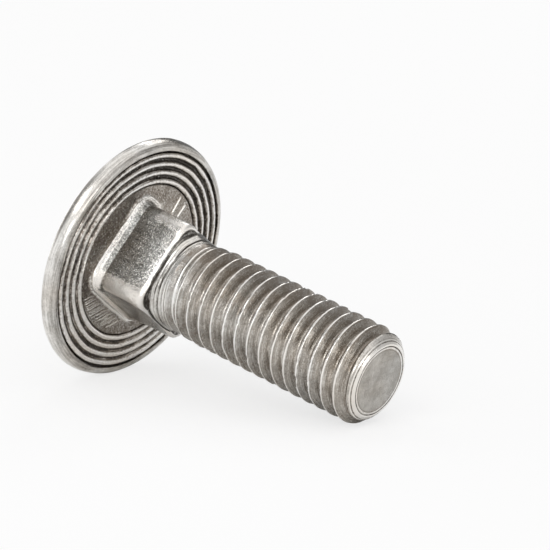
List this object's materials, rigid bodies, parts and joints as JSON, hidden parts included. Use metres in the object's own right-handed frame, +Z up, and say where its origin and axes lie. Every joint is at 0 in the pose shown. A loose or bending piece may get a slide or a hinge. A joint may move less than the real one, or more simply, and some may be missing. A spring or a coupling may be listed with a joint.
{
  "type": "carriage bolt",
  "caption": "Round-head square-neck bolt in stainless steel: low dome, ridged underside, square neck and coarse right-hand thread.",
  "frame": {"origin": "on the ground plane, under the middle of the bolt's box as it lies on its head's rim and the end of its thread", "axes": "+Z up; +X along the bolt on the ground, from the head towards the threaded end; +Y to the left of that"},
  "size_m": [0.0298, 0.0202, 0.0198],
  "materials": {
    "stainless": "polished dome, brushed and rolled elsewhere, darker recesses"
  },
  "bodies": {
    "root": {"bolt": "stainless"}
  },
  "joints": []
}
